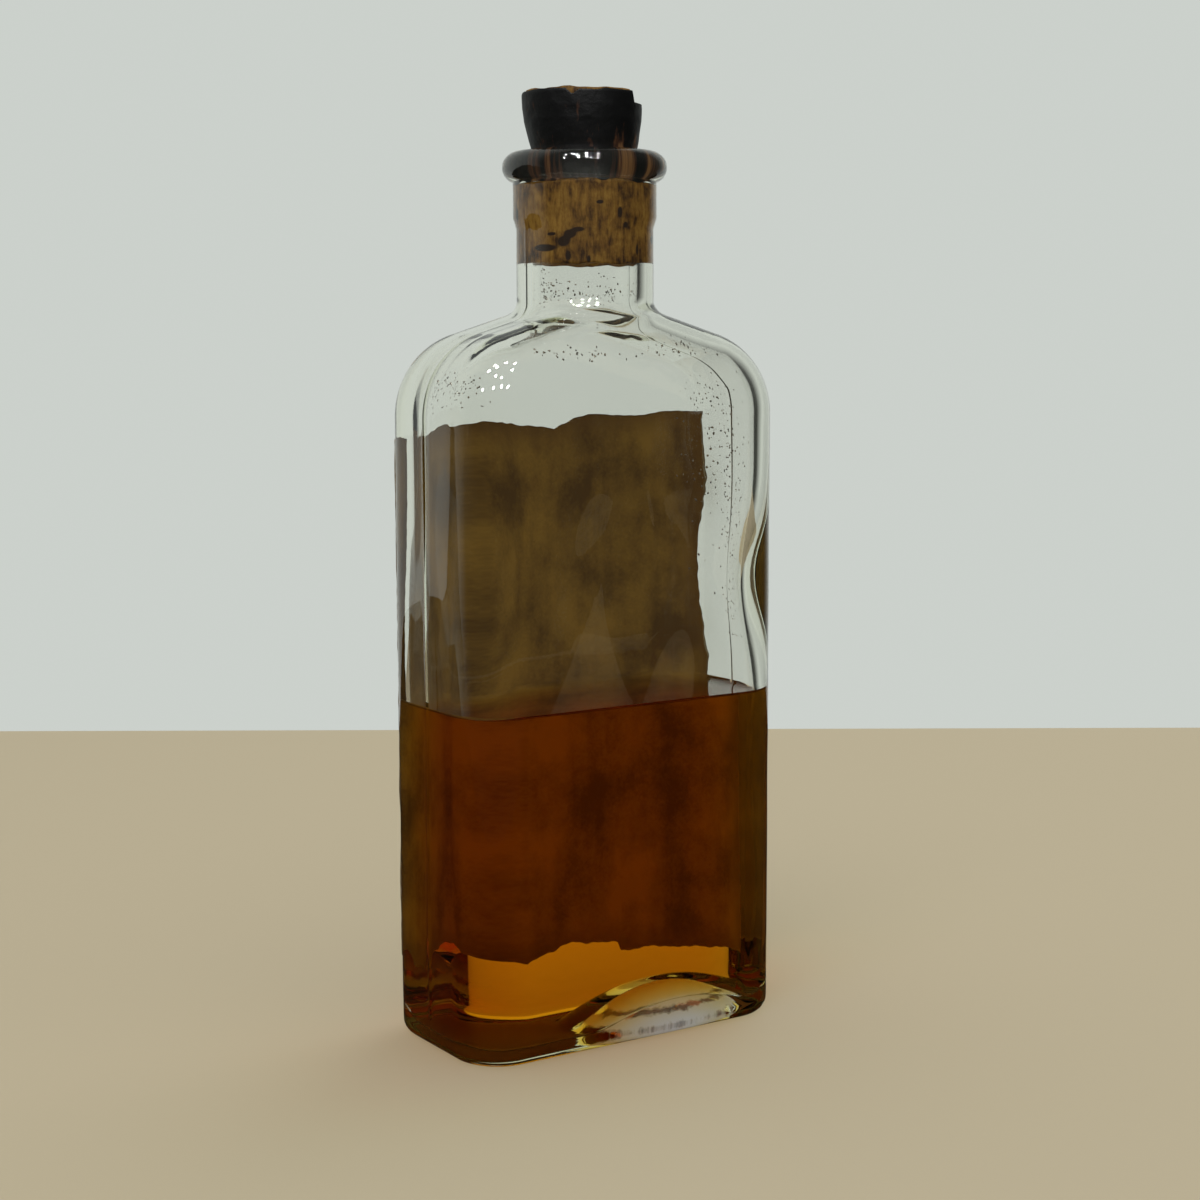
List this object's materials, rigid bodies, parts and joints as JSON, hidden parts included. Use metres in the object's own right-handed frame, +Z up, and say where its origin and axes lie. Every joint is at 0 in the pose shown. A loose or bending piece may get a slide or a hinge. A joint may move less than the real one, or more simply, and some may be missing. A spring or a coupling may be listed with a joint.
{
  "type": "corked flask bottle",
  "caption": "Flat clear-glass flask bottle with rounded shoulders, a beaded lip and a removable cork, part filled with amber oil, with a torn paper label on its back.",
  "frame": {"origin": "centre of the base, on the surface that the bottle stands on", "axes": "+Z up along the neck, +X along the wide faces, +Y towards the face with the label; the clear face looks along -Y"},
  "size_m": [0.0572, 0.0302, 0.1441],
  "materials": {
    "glass": "clear old glass, slightly grey-green, wavy inside",
    "oil": "clear amber-brown oil",
    "paper": "oil-soaked brown paper, matt",
    "cork": "natural cork, oil-stained",
    "black_coat": "dull black coating, worn at the rim"
  },
  "bodies": {
    "bottle": {"glass_bottle": "glass", "oil_fill": "oil", "back_label": "paper"},
    "stopper": {"cork_stopper": "cork", "wax_coat": "black_coat"}
  },
  "joints": [
    {"name": "cork_pull", "type": "slide", "parent": "bottle", "child": "stopper", "axis": [0, 0, 1], "range_m": [0, 0.04]}
  ]
}
